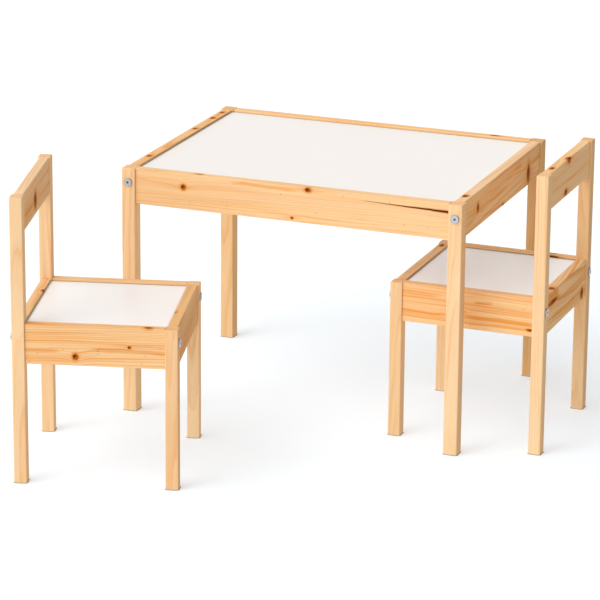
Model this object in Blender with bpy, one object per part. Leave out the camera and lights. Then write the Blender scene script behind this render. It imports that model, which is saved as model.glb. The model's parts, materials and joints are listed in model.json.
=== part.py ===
"""Children's table with two chairs, in solid pine with white inset panels.

The table and each chair are the same kind of flat-pack frame: four square legs, two rails held by
furniture bolts and barrel nuts, two rails held by glued dowels, and a panel that lies loose in a
groove around the inside. Metres, +Z up. The front of the set faces -Y.
"""

import math

import bmesh
import bpy
import numpy as np
from mathutils import Matrix, Vector

# Table
TABLE_LENGTH = 0.630
TABLE_DEPTH = 0.480
TABLE_HEIGHT = 0.450
TABLE_LEG = 0.025
TABLE_RAIL_HEIGHT = 0.064
TABLE_RAIL_THICKNESS = 0.018
TABLE_SETBACK = 0.004

# Chair
CHAIR_SIDE = 0.280
CHAIR_HEIGHT = 0.500
SEAT_HEIGHT = 0.282
CHAIR_LEG = 0.022
CHAIR_RAIL_HEIGHT = 0.070
CHAIR_RAIL_THICKNESS = 0.017
CHAIR_SETBACK = 0.003
BACKREST_HEIGHT = 0.065

# Panel and its groove
PANEL_THICKNESS = 0.004
PANEL_RECESS = 0.004
GROOVE_DEPTH = 0.006

# Joinery, with each drop measured down from the top of the rail
EASED_EDGE = 0.0010
FIT_GAP = 0.0003
DOWEL_DIAMETER = 0.008
DOWEL_REACH = 0.0115
DOWEL_HOLE_DEPTH = 0.0125
PAIRED_DOWEL_DROPS = (0.013, 0.054)
SINGLE_DOWEL_DROP = 0.040
BOLT_DROP = 0.025
BOLT_DIAMETER = 0.006
BOLT_LENGTH = 0.050
BOLT_BORE_DEPTH = 0.032
BOLT_HEAD_DIAMETER = 0.015
BOLT_HEAD_HEIGHT = 0.002
SOCKET_WIDTH = 0.004
SOCKET_DEPTH = 0.0022
NUT_DIAMETER = 0.010
NUT_LENGTH = 0.012
NUT_INSET = 0.018
SLOT_WIDTH = 0.0014
SLOT_DEPTH = 0.0016

# Places on the floor, from the middle of the table, and the direction each chair faces
LEFT_CHAIR_PLACE = (-0.235, -0.477)
LEFT_CHAIR_TURN = math.radians(15)
RIGHT_CHAIR_PLACE = (0.308, -0.042)
RIGHT_CHAIR_TURN = math.radians(180)

BORE_SIDES = 12
HEAD_SIDES = 16
OVERCUT = 0.005
X_AXIS = Vector((1, 0, 0))
Y_AXIS = Vector((0, 1, 0))
Z_AXIS = Vector((0, 0, 1))


def clear_scene():
    for obj in list(bpy.data.objects):
        bpy.data.objects.remove(obj, do_unlink=True)


def material(name, colour, roughness, metallic=0.0):
    made = bpy.data.materials.new(name)
    made.use_nodes = True
    shader = made.node_tree.nodes["Principled BSDF"]
    shader.inputs["Base Color"].default_value = (*colour, 1)
    shader.inputs["Roughness"].default_value = roughness
    shader.inputs["Metallic"].default_value = metallic
    return made


def linked(name, bm, parent, finish=None):
    """A new object that takes bm as its mesh, in its parent's frame."""
    bmesh.ops.recalc_face_normals(bm, faces=bm.faces)
    mesh = bpy.data.meshes.new(name)
    bm.to_mesh(mesh)
    bm.free()
    obj = bpy.data.objects.new(name, mesh)
    bpy.context.scene.collection.objects.link(obj)
    obj.parent = parent
    if finish:
        mesh.materials.append(finish)
    return obj


def empty(name, parent=None, place=(0, 0), turn=0.0):
    obj = bpy.data.objects.new(name, None)
    bpy.context.scene.collection.objects.link(obj)
    obj.parent = parent
    obj.location = (*place, 0)
    obj.rotation_euler.z = turn
    return obj


def recentred(obj):
    """Moves the object's origin to the middle of its mesh, leaving the shape where it is."""
    corners = np.array([vertex.co for vertex in obj.data.vertices])
    middle = Vector((corners.min(axis=0) + corners.max(axis=0)) / 2)
    obj.data.transform(Matrix.Translation(-middle))
    obj.location = middle
    return obj


def add_box(bm, corner, opposite):
    """Adds a box between two opposite corners and returns its edges."""
    size = [abs(a - b) for a, b in zip(corner, opposite)]
    place = Matrix.Translation((corner + opposite) / 2) @ Matrix.Diagonal((*size, 1))
    verts = bmesh.ops.create_cube(bm, size=1, matrix=place)["verts"]
    return list({edge for vert in verts for edge in vert.link_edges})


def add_rod(bm, start, direction, length, diameter, sides=BORE_SIDES):
    """Adds a closed cylinder that runs from start along direction."""
    turn = direction.to_track_quat("Z", "Y").to_matrix().to_4x4()
    place = Matrix.Translation(start + direction * length / 2) @ turn
    bmesh.ops.create_cone(
        bm,
        cap_ends=True,
        segments=sides,
        radius1=diameter / 2,
        radius2=diameter / 2,
        depth=length,
        matrix=place,
    )


def combine(obj, name, bm, parent, operation):
    """Cuts a hidden operand out of obj, or joins it on."""
    operand = linked(f"{name}_of_{obj.name}", bm, parent)
    operand.hide_render = True
    operand.display_type = "WIRE"
    change = obj.modifiers.new(name, "BOOLEAN")
    change.operation = operation
    change.solver = "EXACT"
    change.object = operand


def smoothed(obj):
    obj.data.shade_smooth()
    obj.data.set_sharp_from_angle(angle=math.radians(35))


def timber(name, corner, opposite, parent, finish, grain=None):
    """A planed bar between two corners. With grain given, only the edges along it are eased."""
    bm = bmesh.new()
    edges = add_box(bm, corner, opposite)
    if grain:
        runs = {edge: edge.verts[1].co - edge.verts[0].co for edge in edges}
        edges = [edge for edge, run in runs.items() if abs(run.normalized().dot(grain)) > 0.9]
    bmesh.ops.bevel(bm, geom=edges, offset=EASED_EDGE, segments=1, affect="EDGES")
    return recentred(linked(name, bm, parent, finish))


class Frame:
    """Where the parts of one frame stand: a table, or the seat of a chair.

    The bolted rails and their bolts run along bolt_axis, and the dowelled rails along dowel_axis.
    """

    def __init__(self, parent, bolt_axis, dowel_axis, bolt_half, dowel_half, leg, rail, setback, top):
        self.parent = parent
        self.bolt_axis, self.dowel_axis = bolt_axis, dowel_axis
        self.bolt_half, self.dowel_half = bolt_half, dowel_half
        self.leg, self.setback, self.top = leg, setback, top
        self.rail_height, self.rail_thickness = rail

    def point(self, along_bolts, along_dowels, height):
        return self.bolt_axis * along_bolts + self.dowel_axis * along_dowels + Z_AXIS * height

    def rail_middle(self, half):
        return half - self.setback - self.rail_thickness / 2

    def inner_face(self, half):
        return half - self.setback - self.rail_thickness


def make_leg(frame, name, bolt_side, dowel_side, height, finish):
    """A square leg with the bores for its bolt and for the dowels of its two rails."""
    corner = frame.point(bolt_side * frame.bolt_half, dowel_side * frame.dowel_half, 0)
    inner = frame.point(
        bolt_side * (frame.bolt_half - frame.leg),
        dowel_side * (frame.dowel_half - frame.leg),
        height,
    )
    made = timber(name, corner, inner, frame.parent, finish)
    bores = bmesh.new()
    bolt_way = frame.bolt_axis * bolt_side
    dowel_way = frame.dowel_axis * dowel_side
    across = dowel_side * (frame.dowel_half - frame.leg / 2)
    start = frame.point(bolt_side * (frame.bolt_half + OVERCUT), across, frame.top - BOLT_DROP)
    add_rod(bores, start, -bolt_way, frame.leg + 2 * OVERCUT, BOLT_DIAMETER + 2 * FIT_GAP)
    depth = DOWEL_HOLE_DEPTH + OVERCUT
    width = DOWEL_DIAMETER + 2 * FIT_GAP
    start = frame.point(
        bolt_side * (frame.bolt_half - frame.leg - OVERCUT),
        dowel_side * frame.rail_middle(frame.dowel_half),
        frame.top - SINGLE_DOWEL_DROP,
    )
    add_rod(bores, start, bolt_way, depth, width)
    tops = [frame.top] if height < CHAIR_HEIGHT else [frame.top, height]
    for top in tops:
        for drop in PAIRED_DOWEL_DROPS:
            start = frame.point(
                bolt_side * frame.rail_middle(frame.bolt_half),
                dowel_side * (frame.dowel_half - frame.leg - OVERCUT),
                top - drop,
            )
            add_rod(bores, start, dowel_way, depth, width)
    combine(made, "bores", bores, frame.parent, "DIFFERENCE")
    return made


def cut_groove(frame, rail):
    """Cuts away the slab of space that the panel lies in."""
    slab = bmesh.new()
    far_x = frame.inner_face(frame.bolt_half) + GROOVE_DEPTH
    far_y = frame.inner_face(frame.dowel_half) + GROOVE_DEPTH
    roof = frame.top - PANEL_RECESS + FIT_GAP
    floor = frame.top - PANEL_RECESS - PANEL_THICKNESS - FIT_GAP
    add_box(slab, frame.point(-far_x, -far_y, floor), frame.point(far_x, far_y, roof))
    combine(rail, "groove", slab, frame.parent, "DIFFERENCE")


def make_bolted_rail(frame, name, side, finish):
    """A rail along the bolts, with bolt bores in its ends and nut bores in its inner side."""
    end = frame.bolt_half - frame.leg - FIT_GAP
    outer = side * (frame.dowel_half - frame.setback)
    inner = side * frame.inner_face(frame.dowel_half)
    made = timber(
        name,
        frame.point(-end, outer, frame.top),
        frame.point(end, inner, frame.top - frame.rail_height),
        frame.parent,
        finish,
        frame.bolt_axis,
    )
    bolt_bores, nut_bores, dowels = bmesh.new(), bmesh.new(), bmesh.new()
    bolt_line = side * (frame.dowel_half - frame.leg / 2)
    outward = frame.dowel_axis * side
    for bolt_side in (-1, 1):
        way = frame.bolt_axis * bolt_side
        start = frame.point(bolt_side * (end + OVERCUT), bolt_line, frame.top - BOLT_DROP)
        add_rod(bolt_bores, start, -way, BOLT_BORE_DEPTH + OVERCUT, BOLT_DIAMETER + 2 * FIT_GAP)
        start = frame.point(bolt_side * (end - NUT_INSET), inner, frame.top - BOLT_DROP)
        depth = abs(bolt_line - inner) + NUT_LENGTH / 2 + FIT_GAP
        width = NUT_DIAMETER + 2 * FIT_GAP
        add_rod(nut_bores, start - outward * OVERCUT, outward, depth + OVERCUT, width)
        root = frame.point(
            bolt_side * (end - OVERCUT),
            side * frame.rail_middle(frame.dowel_half),
            frame.top - SINGLE_DOWEL_DROP,
        )
        add_rod(dowels, root, way, DOWEL_REACH + OVERCUT, DOWEL_DIAMETER)
    combine(made, "bolt_bores", bolt_bores, frame.parent, "DIFFERENCE")
    combine(made, "nut_bores", nut_bores, frame.parent, "DIFFERENCE")
    cut_groove(frame, made)
    combine(made, "dowels", dowels, frame.parent, "UNION")
    return made


def make_dowelled_rail(frame, name, side, top, height, finish):
    """A rail across the bolts, with two glued-in dowels standing out of each end."""
    end = frame.dowel_half - frame.leg - FIT_GAP
    made = timber(
        name,
        frame.point(side * (frame.bolt_half - frame.setback), -end, top),
        frame.point(side * frame.inner_face(frame.bolt_half), end, top - height),
        frame.parent,
        finish,
        frame.dowel_axis,
    )
    dowels = bmesh.new()
    for dowel_side in (-1, 1):
        for drop in PAIRED_DOWEL_DROPS:
            middle = side * frame.rail_middle(frame.bolt_half)
            root = frame.point(middle, dowel_side * (end - OVERCUT), top - drop)
            way = frame.dowel_axis * dowel_side
            add_rod(dowels, root, way, DOWEL_REACH + OVERCUT, DOWEL_DIAMETER)
    combine(made, "dowels", dowels, frame.parent, "UNION")
    return made


def make_panel(frame, name, finish):
    """A sheet that fills the grooves, notched at its corners round the four legs."""
    tongue = GROOVE_DEPTH - 2 * FIT_GAP
    far_bolt = frame.inner_face(frame.bolt_half) + tongue
    far_dowel = frame.inner_face(frame.dowel_half) + tongue
    near_bolt = frame.bolt_half - frame.leg - 2 * FIT_GAP
    near_dowel = frame.dowel_half - frame.leg - 2 * FIT_GAP
    quarter = [(far_bolt, near_dowel), (near_bolt, near_dowel), (near_bolt, far_dowel)]
    outline = quarter + [(-a, b) for a, b in reversed(quarter)]
    outline += [(-a, -b) for a, b in outline]
    floor = frame.top - PANEL_RECESS - PANEL_THICKNESS
    bm = bmesh.new()
    face = bm.faces.new([bm.verts.new(frame.point(a, b, floor)) for a, b in outline])
    raised = bmesh.ops.extrude_face_region(bm, geom=[face])["geom"]
    verts = [item for item in raised if isinstance(item, bmesh.types.BMVert)]
    bmesh.ops.translate(bm, vec=Z_AXIS * PANEL_THICKNESS, verts=verts)
    return recentred(linked(name, bm, frame.parent, finish))


def make_bolt(frame, name, bolt_side, dowel_side, finish):
    """A flat-headed furniture bolt, turned from its profile, with a hexagon socket."""
    head, shank = BOLT_HEAD_DIAMETER / 2, BOLT_DIAMETER / 2
    rim = BOLT_HEAD_HEIGHT * 0.3
    profile = (
        (0, -BOLT_HEAD_HEIGHT),
        (head - rim, -BOLT_HEAD_HEIGHT),
        (head, -BOLT_HEAD_HEIGHT + rim),
        (head, 0),
        (shank, 0),
        (shank, BOLT_LENGTH - shank / 2),
        (shank / 2, BOLT_LENGTH),
        (0, BOLT_LENGTH),
    )
    bm = bmesh.new()
    verts = [bm.verts.new((radius, 0, along)) for radius, along in profile]
    edges = [bm.edges.new(pair) for pair in zip(verts, verts[1:])]
    bmesh.ops.spin(
        bm, geom=verts + edges, cent=(0, 0, 0), axis=Z_AXIS, angle=math.tau, steps=HEAD_SIDES
    )
    bmesh.ops.remove_doubles(bm, verts=bm.verts, dist=1e-6)
    made = linked(name, bm, frame.parent, finish)
    inward = -frame.bolt_axis * bolt_side
    made.rotation_euler = inward.to_track_quat("Z", "Y").to_euler()
    made.location = frame.point(
        bolt_side * (frame.bolt_half + FIT_GAP),
        dowel_side * (frame.dowel_half - frame.leg / 2),
        frame.top - BOLT_DROP,
    )
    socket = bmesh.new()
    mouth = Z_AXIS * -(BOLT_HEAD_HEIGHT + OVERCUT)
    across_corners = SOCKET_WIDTH / math.cos(math.pi / 6)
    add_rod(socket, mouth, Z_AXIS, SOCKET_DEPTH + OVERCUT, across_corners, sides=6)
    combine(made, "socket", socket, made, "DIFFERENCE")
    smoothed(made)
    return made


def make_barrel_nut(frame, name, bolt_side, dowel_side, finish):
    """A barrel nut across the rail, with its bolt hole and a screwdriver slot on the inside."""
    middle = frame.point(
        bolt_side * (frame.bolt_half - frame.leg - FIT_GAP - NUT_INSET),
        dowel_side * (frame.dowel_half - frame.leg / 2),
        frame.top - BOLT_DROP,
    )
    inward = -frame.dowel_axis * dowel_side
    bm = bmesh.new()
    add_rod(bm, middle - inward * NUT_LENGTH / 2, inward, NUT_LENGTH, NUT_DIAMETER)
    made = recentred(linked(name, bm, frame.parent, finish))
    hole = bmesh.new()
    start = middle - frame.bolt_axis * NUT_DIAMETER
    add_rod(hole, start, frame.bolt_axis, 2 * NUT_DIAMETER, BOLT_DIAMETER + 2 * FIT_GAP)
    combine(made, "hole", hole, frame.parent, "DIFFERENCE")
    slot = bmesh.new()
    face = middle + inward * NUT_LENGTH / 2
    half_slot = frame.bolt_axis * NUT_DIAMETER + Z_AXIS * SLOT_WIDTH / 2
    add_box(slot, face - inward * SLOT_DEPTH - half_slot, face + inward * OVERCUT + half_slot)
    combine(made, "slot", slot, frame.parent, "DIFFERENCE")
    smoothed(made)
    return made


def make_fasteners(frame, prefix, corners, zinc):
    for (bolt_side, dowel_side), corner in corners.items():
        make_bolt(frame, f"{prefix}_bolt_{corner}", bolt_side, dowel_side, zinc)
        make_barrel_nut(frame, f"{prefix}_nut_{corner}", bolt_side, dowel_side, zinc)


def make_table(parent, pine, white, zinc):
    frame = Frame(
        parent,
        bolt_axis=Y_AXIS,
        dowel_axis=X_AXIS,
        bolt_half=TABLE_DEPTH / 2,
        dowel_half=TABLE_LENGTH / 2,
        leg=TABLE_LEG,
        rail=(TABLE_RAIL_HEIGHT, TABLE_RAIL_THICKNESS),
        setback=TABLE_SETBACK,
        top=TABLE_HEIGHT,
    )
    corners = {
        (-1, -1): "front_left",
        (-1, 1): "front_right",
        (1, -1): "rear_left",
        (1, 1): "rear_right",
    }
    for (bolt_side, dowel_side), corner in corners.items():
        make_leg(frame, f"table_leg_{corner}", bolt_side, dowel_side, TABLE_HEIGHT, pine)
    for side, end in ((-1, "front"), (1, "rear")):
        name = f"table_rail_{end}"
        make_dowelled_rail(frame, name, side, TABLE_HEIGHT, TABLE_RAIL_HEIGHT, pine)
    for side, end in ((-1, "left"), (1, "right")):
        make_bolted_rail(frame, f"table_rail_{end}", side, pine)
    for name in ("table_rail_front", "table_rail_rear"):
        cut_groove(frame, bpy.data.objects[name])
    make_panel(frame, "table_top_panel", white)
    make_fasteners(frame, "table", corners, zinc)


def make_chair(prefix, parent, pine, white, zinc):
    """A chair that faces +X in its own frame, so that its left side is at +Y."""
    frame = Frame(
        parent,
        bolt_axis=X_AXIS,
        dowel_axis=Y_AXIS,
        bolt_half=CHAIR_SIDE / 2,
        dowel_half=CHAIR_SIDE / 2,
        leg=CHAIR_LEG,
        rail=(CHAIR_RAIL_HEIGHT, CHAIR_RAIL_THICKNESS),
        setback=CHAIR_SETBACK,
        top=SEAT_HEIGHT,
    )
    corners = {
        (1, 1): "front_left",
        (1, -1): "front_right",
        (-1, 1): "rear_left",
        (-1, -1): "rear_right",
    }
    for (bolt_side, dowel_side), corner in corners.items():
        kind, height = ("leg", SEAT_HEIGHT) if bolt_side > 0 else ("post", CHAIR_HEIGHT)
        make_leg(frame, f"{prefix}_{kind}_{corner}", bolt_side, dowel_side, height, pine)
    for side, end in ((1, "front"), (-1, "rear")):
        name = f"{prefix}_rail_{end}"
        rail = make_dowelled_rail(frame, name, side, SEAT_HEIGHT, CHAIR_RAIL_HEIGHT, pine)
        cut_groove(frame, rail)
    for side, end in ((1, "left"), (-1, "right")):
        make_bolted_rail(frame, f"{prefix}_rail_{end}", side, pine)
    make_dowelled_rail(frame, f"{prefix}_backrest", -1, CHAIR_HEIGHT, BACKREST_HEIGHT, pine)
    make_panel(frame, f"{prefix}_seat_panel", white)
    make_fasteners(frame, prefix, corners, zinc)


def centre(whole):
    """Moves the set so that the middle of its box stands over the origin."""
    bpy.context.view_layer.update()
    graph = bpy.context.evaluated_depsgraph_get()
    corners = []
    for obj in bpy.context.scene.objects:
        if obj.type == "MESH" and not obj.hide_render:
            solid = obj.evaluated_get(graph)
            corners += [solid.matrix_world @ vertex.co for vertex in solid.data.vertices]
    corners = np.array(corners)
    middle = (corners.min(axis=0) + corners.max(axis=0)) / 2
    whole.location = (-middle[0], -middle[1], 0)


def main():
    clear_scene()
    pine = material("pine", (0.80, 0.52, 0.27), 0.45)
    white = material("white_panel", (0.90, 0.88, 0.85), 0.35)
    zinc = material("zinc", (0.62, 0.63, 0.65), 0.3, metallic=1.0)
    whole = empty("kids_table_and_chairs")
    make_table(empty("table", whole), pine, white, zinc)
    left = empty("left_chair", whole, LEFT_CHAIR_PLACE, LEFT_CHAIR_TURN)
    make_chair("left_chair", left, pine, white, zinc)
    right = empty("right_chair", whole, RIGHT_CHAIR_PLACE, RIGHT_CHAIR_TURN)
    make_chair("right_chair", right, pine, white, zinc)
    centre(whole)


main()
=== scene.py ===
"""Kids table and two chairs: finely rounded pine bars, white panels and zinc fasteners on the CAD frame."""

import json
import math
import random

import bmesh
import bpy
import numpy as np
from mathutils import Matrix, Vector


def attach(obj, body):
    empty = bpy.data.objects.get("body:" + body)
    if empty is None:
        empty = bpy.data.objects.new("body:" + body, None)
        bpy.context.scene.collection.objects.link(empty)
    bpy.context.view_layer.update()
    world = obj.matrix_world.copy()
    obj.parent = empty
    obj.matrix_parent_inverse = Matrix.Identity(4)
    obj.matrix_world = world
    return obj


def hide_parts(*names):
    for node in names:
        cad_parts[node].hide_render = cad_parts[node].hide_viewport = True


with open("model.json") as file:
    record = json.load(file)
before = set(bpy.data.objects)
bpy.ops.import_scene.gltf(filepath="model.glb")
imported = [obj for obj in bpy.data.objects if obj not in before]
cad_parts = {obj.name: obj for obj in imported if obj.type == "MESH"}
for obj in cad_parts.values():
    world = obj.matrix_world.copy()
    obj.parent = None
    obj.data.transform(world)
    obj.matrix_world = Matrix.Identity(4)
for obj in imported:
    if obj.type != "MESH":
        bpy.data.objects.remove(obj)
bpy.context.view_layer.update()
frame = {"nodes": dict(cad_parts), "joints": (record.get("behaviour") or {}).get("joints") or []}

# ---------------------------------------------------------------- sizes, in metres

EDGE_RADIUS = 0.0018
EDGE_SEGMENTS = 6
SKIN = 0.00001
END_CLEARANCE = 0.010
PANEL_EDGE_RADIUS = 0.0004
PANEL_EDGE_SEGMENTS = 2
PANEL_TONGUE = 0.0057
SHARP_ANGLE = math.radians(35)
FLAT_FACE_WEIGHT = 100
# 1 - cos 45 degrees, rounded: how far the middle of a rounded edge is from facing along an axis.
EDGE_TURN = 0.29

BOLT_HEAD_HEIGHT = 0.002
BOLT_HEAD_ROUND = 0.0007
BOLT_SHANK_DIAMETER = 0.006
BOLT_THREAD_PITCH = 0.0015
BOLT_THREAD_DEPTH = 0.0004
BOLT_THREAD_LENGTH = 0.022
SOCKET_WIDTH = 0.004
SOCKET_DEPTH = 0.0022
TURNED_SIDES = 48
BOLT_RIM_POINTS = 6
NUT_RIM_POINTS = 5
NUT_ROUND = 0.0005
NUT_BORE_DIAMETER = 0.0066
NUT_SLOT_WIDTH = 0.0014
NUT_SLOT_DEPTH = 0.0016
OVERCUT = 0.002

X_AXIS = Vector((1, 0, 0))
UP = Vector((0, 0, 1))

# A body's own directions, as indices: a chair faces along its X, and the table is long along its X.
FACING, SIDEWAYS, UPWARD = 0, 1, 2

# ---------------------------------------------------------------- the view and the light

CAMERA_PLACE = (1.94206, -5.08581, 1.9623)
CAMERA_YAW = math.radians(21.025)
CAMERA_DOWN = math.radians(17.589)
CAMERA_ROLL = math.radians(-0.503)
CAMERA_LENS = 195.9
CAMERA_SENSOR = 36
CAMERA_REACH = 200

FLOOR_RADIUS = 60.0
FLOOR_COLOR = (0.695, 0.752, 0.797)
FLOOR_GLOW = (0.303, 0.301, 0.304)
FLOOR_SIDES = 96
# Reach, depth and samples of the painted contact shadow on the floor.
CONTACT_SHADOW_REACH = 0.003
CONTACT_SHADOW_DEPTH = 2.0
CONTACT_SHADOW_SAMPLES = 16
GROUND_LIGHT = (0.82, 0.82, 0.84)
WARM_GROUND_LIGHT = (0.74, 0.63, 0.50)
FILL_LIGHT = (0.24, 0.23, 0.21)
KEY_LIGHT = (1.66, 1.65, 1.63)
KEY_FROM = Vector((-0.50, -0.75, 0.45)).normalized()
KEY_SHARPNESS = 1.5
TOP_LIGHT = (0.22, 0.24, 0.27)
TOP_FROM = Vector((0.0, 0.1, 1.0)).normalized()
TOP_SHARPNESS = 3.0
BACKDROP_LIGHT = (0.84, 0.82, 0.80)
BACKDROP_FROM = Vector((-0.34, 0.89, 0.30)).normalized()
BACKDROP_SHARPNESS = 4.0
LOW_LIGHT = (1.75, 2.20, 2.70)
LOW_SHARPNESS = 4.0
GROUND_BLEND = (-0.2, 0.6)
GROUND_EDGE = (-0.01, 0.01)
HORIZON_LIGHT = (1.0, 1.0, 1.0)
HORIZON_HEIGHTS = (0.04, 0.08)
LAMP_FROM = Vector((-0.47, -0.62, 0.63))
LAMP_STRENGTH = 0.5
LAMP_SPREAD = math.radians(40)

# ---------------------------------------------------------------- timber

EARLYWOOD = (0.88, 0.580, 0.310)
PALEWOOD = (0.90, 0.650, 0.385)
# The pale colour of the painted sheen on top faces.
TOP_SHEEN = (0.89, 0.665, 0.455)
ROSYWOOD = (0.84, 0.460, 0.245)
LATEWOOD = (0.76, 0.350, 0.105)
LATEWOOD_CURVE = ((0.0, 0.15), (0.12, 0.0), (0.52, 0.05), (0.82, 0.60), (0.94, 1.0), (1.0, 0.15))
AMBER = (0.76, 0.285, 0.040)
KNOT_BODY = (0.46, 0.125, 0.016)
KNOT_RIM = (0.24, 0.050, 0.006)
KNOT_CORE = (0.110, 0.020, 0.002)
KNOT_HALO = (0.72, 0.270, 0.040)
PITCH = (0.022, 0.003, 0.001)
HALF = (0.5, 0.5, 0.5)

# What a full tone takes off red, green and blue, and how far a top face is lightened with painted sheen.
TONE_TINT = (0.0, 0.14, 0.36)
TOP_SHEEN_MIX = 0.42

# How far rings wander from straight, how deep the grain's relief is, and the lacquer over it.
PITH_WAVER = (0, 0.010, 0.010)
RING_RIPPLE = (0, 0.0016, 0.0016)
BAND_WANDER = 0.006
STREAK_WANDER = 0.0016
GRAIN_RELIEF = 0.00012
LACQUER = 0.14
LACQUER_ROUGHNESS = 0.32

# Each panel's white, set apart as painted light and shade on one white paint: the table top is painted darker
# and warmer under its stronger light, and the chairs' seats whiter, the right one most for the shade of the
# table top over it.
PANEL_WHITES_WITH_PAINTED_LIGHT = {
    "table": (0.872, 0.836, 0.812),
    "left_chair": (0.948, 0.934, 0.938),
    "right_chair": (0.970, 0.972, 0.985),
}

PAINT_VARIATION = 0.014
PAINT_RELIEF = 0.00003
PAINT_SPECK = (0.55, 0.53, 0.50)
RAIL_SHADE = (0.30, 0.26, 0.23)
RAIL_SHADE_WIDTH = 0.0045
RAIL_SHADE_STRENGTH = 0.65

ZINC_RELIEF = 0.00002
ZINC_DULL = (0.58, 0.62, 0.67)
ZINC_BRIGHT = (0.78, 0.81, 0.85)
# Painted shade on a bolt head's rounded rim, and in its socket.
ZINC_RIM_SHADE = (0.25, 0.27, 0.30)
ZINC_RIM_SHADE_RADII = (0.0060, 0.0074)
ZINC_SOCKET_SHADE = (0.05, 0.055, 0.06)
ZINC_SOCKET_SHADE_RADII = (0.0026, 0.0029)
ZINC_SOCKET_SHADE_DEPTHS = (0.0002, 0.0010)

# The corners of a table, and of a chair as its sitter sees it.
CORNERS = ("front_left", "front_right", "rear_left", "rear_right")


def body_axes():
    """Each body's own directions as matrix rows: a chair faces along its slide."""
    axes = {"table": Matrix.Identity(3)}
    for joint in frame["joints"]:
        facing = Vector(joint["axis"]).normalized()
        axes[joint["child"]] = Matrix((facing, UP.cross(facing), UP))
    return axes


AXES = body_axes()


def body_of(name):
    return name.split("_")[0] if name.startswith("table") else "_".join(name.split("_")[:2])


def own_box(name):
    """The corners of a CAD node's box along its body's own directions."""
    axes = AXES[body_of(name)]
    points = np.array([axes @ vertex.co for vertex in frame["nodes"][name].data.vertices])
    return Vector(points.min(axis=0)), Vector(points.max(axis=0))


# ---------------------------------------------------------------- mesh helpers


def add_object(name, mesh):
    made = bpy.data.objects.new(name, mesh)
    bpy.context.scene.collection.objects.link(made)
    return made


def from_bmesh(name, bm):
    mesh = bpy.data.meshes.new(name)
    bmesh.ops.recalc_face_normals(bm, faces=bm.faces)
    bm.to_mesh(mesh)
    bm.free()
    return mesh


def applied(made):
    """Swaps an object's mesh for the result of its modifiers."""
    bpy.context.view_layer.update()
    graph = bpy.context.evaluated_depsgraph_get()
    mesh = bpy.data.meshes.new_from_object(made.evaluated_get(graph))
    made.modifiers.clear()
    made.data = mesh
    return made


def combined(made, cutter_mesh, operation):
    """Runs one Boolean and removes its cutter."""
    cutter = add_object("cutter", cutter_mesh)
    boolean = made.modifiers.new("combine", "BOOLEAN")
    boolean.operation = operation
    boolean.solver = "EXACT"
    boolean.object = cutter
    applied(made)
    bpy.data.objects.remove(cutter)
    return made


def smooth(made):
    """Shades curved edges round and keeps flat faces flat."""
    made.data.shade_smooth()
    made.data.set_sharp_from_angle(angle=SHARP_ANGLE)
    weighted = made.modifiers.new("weighted", "WEIGHTED_NORMAL")
    weighted.keep_sharp = True
    weighted.weight = FLAT_FACE_WEIGHT
    return applied(made)


def box_bmesh(low, high):
    bm = bmesh.new()
    bmesh.ops.create_cube(bm, size=1)
    for vertex in bm.verts:
        for i in range(3):
            vertex.co[i] = low[i] if vertex.co[i] < 0 else high[i]
    return bm


def rounded_bar(low, high, axes, along=None):
    """A bar with round edges, all of them or only those along one of its body's own directions."""
    low, high = low.copy(), high.copy()
    for i in range(3):
        spare = END_CLEARANCE if i == along else SKIN
        low[i] -= spare
        high[i] += spare
    bm = box_bmesh(low, high)
    edges = [
        edge
        for edge in bm.edges
        if along is None or abs((edge.verts[0].co - edge.verts[1].co)[along]) > END_CLEARANCE
    ]
    bmesh.ops.bevel(
        bm, geom=edges, offset=EDGE_RADIUS, segments=EDGE_SEGMENTS, profile=0.5, affect="EDGES"
    )
    bmesh.ops.transform(bm, matrix=axes.transposed().to_4x4(), verts=bm.verts)
    return from_bmesh("bar", bm)


def copy_of(name, piece_name):
    """A CAD node's mesh in a new object, so that it can be worked on."""
    made = add_object(piece_name, frame["nodes"][name].data.copy())
    made.data.materials.clear()
    return made


def settle(made, node, material):
    """Puts a finished piece in its CAD node's place."""
    made.data.materials.clear()
    made.data.materials.append(material)
    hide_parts(node)
    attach(made, body_of(node))
    return made


def write_attribute(mesh, name, kind, domain, values):
    layer = mesh.attributes.new(name, kind, domain)
    layer.data.foreach_set("vector" if kind == "FLOAT_VECTOR" else "value", np.ravel(values))


def vertex_points(mesh):
    points = np.empty(len(mesh.vertices) * 3)
    mesh.vertices.foreach_get("co", points)
    return points.reshape(-1, 3)


# ---------------------------------------------------------------- shader helpers


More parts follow.
